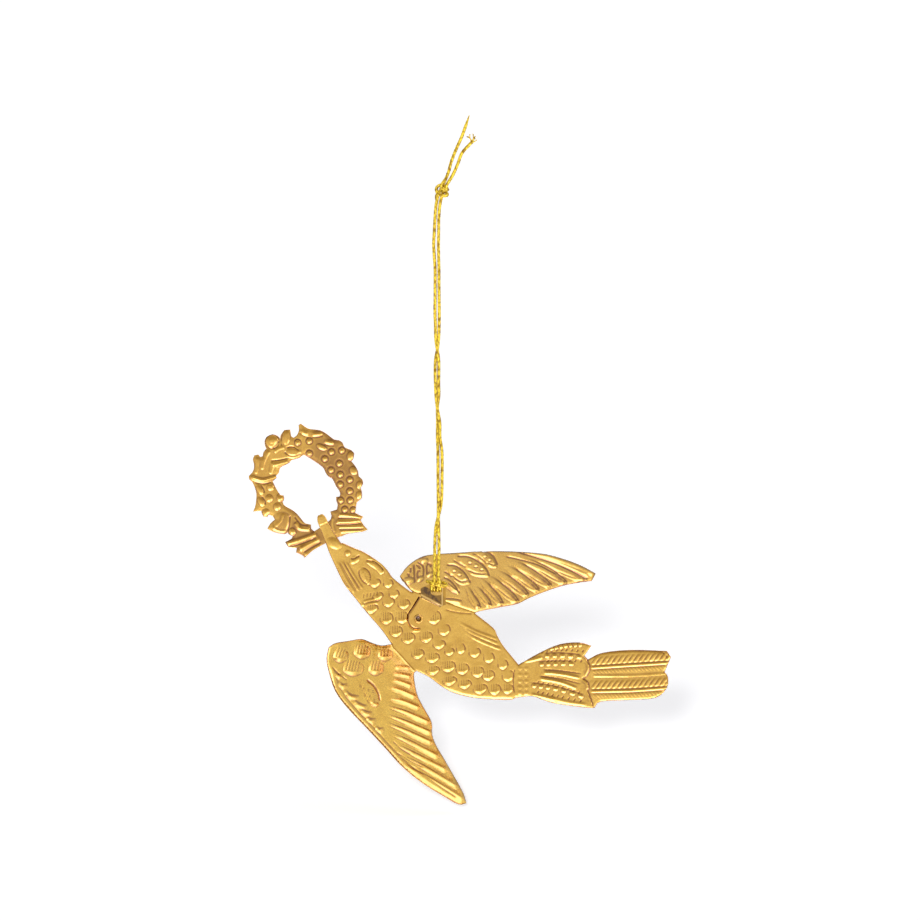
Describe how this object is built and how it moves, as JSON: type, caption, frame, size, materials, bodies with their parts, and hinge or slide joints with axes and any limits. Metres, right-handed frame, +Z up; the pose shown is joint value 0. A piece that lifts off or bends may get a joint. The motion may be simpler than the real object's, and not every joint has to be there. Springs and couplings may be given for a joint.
{
  "type": "hanging bird ornament",
  "caption": "Stamped brass bird in flight holding a small wreath in its beak, hung by a riveted swivel bracket from a looped and knotted metallic cord.",
  "frame": {"origin": "hanging point: the inside of the cord's loop, between the strands just under the knot", "axes": "+X from the beak's side to the tail, +Y away from the viewer of the bird's face side, +Z up"},
  "size_m": [0.1309, 0.0612, 0.2143],
  "materials": {
    "bird_brass": "satin, embossed",
    "wreath_brass": "satin, embossed",
    "fitting_brass": "satin",
    "metallic_cord": "metallic thread"
  },
  "bodies": {
    "cord": {"cord_strand_long": "metallic_cord", "cord_strand_short": "metallic_cord", "cord_knot": "metallic_cord"},
    "hitch": {"cord_hitch": "metallic_cord"},
    "hanger": {"hanger_bracket": "fitting_brass"},
    "bird": {"bird_sheet": "bird_brass", "wreath": "wreath_brass", "rivet": "fitting_brass"}
  },
  "joints": [
    {"name": "cord_twist", "type": "hinge", "parent": "cord", "child": "hitch", "pos_m": [-0.0005, 0, -0.1214], "axis": [0, 0, 1], "range_deg": [-180, 180]},
    {"name": "hitch_rock", "type": "hinge", "parent": "hitch", "child": "hanger", "pos_m": [-0.0005, 0, -0.1214], "axis": [1, 0, 0], "range_deg": [-30, 30]},
    {"name": "bracket_swivel", "type": "hinge", "parent": "hanger", "child": "bird", "pos_m": [-0.00605, 0, -0.13152], "axis": [0, 1, 0], "range_deg": [-10, 10]}
  ]
}
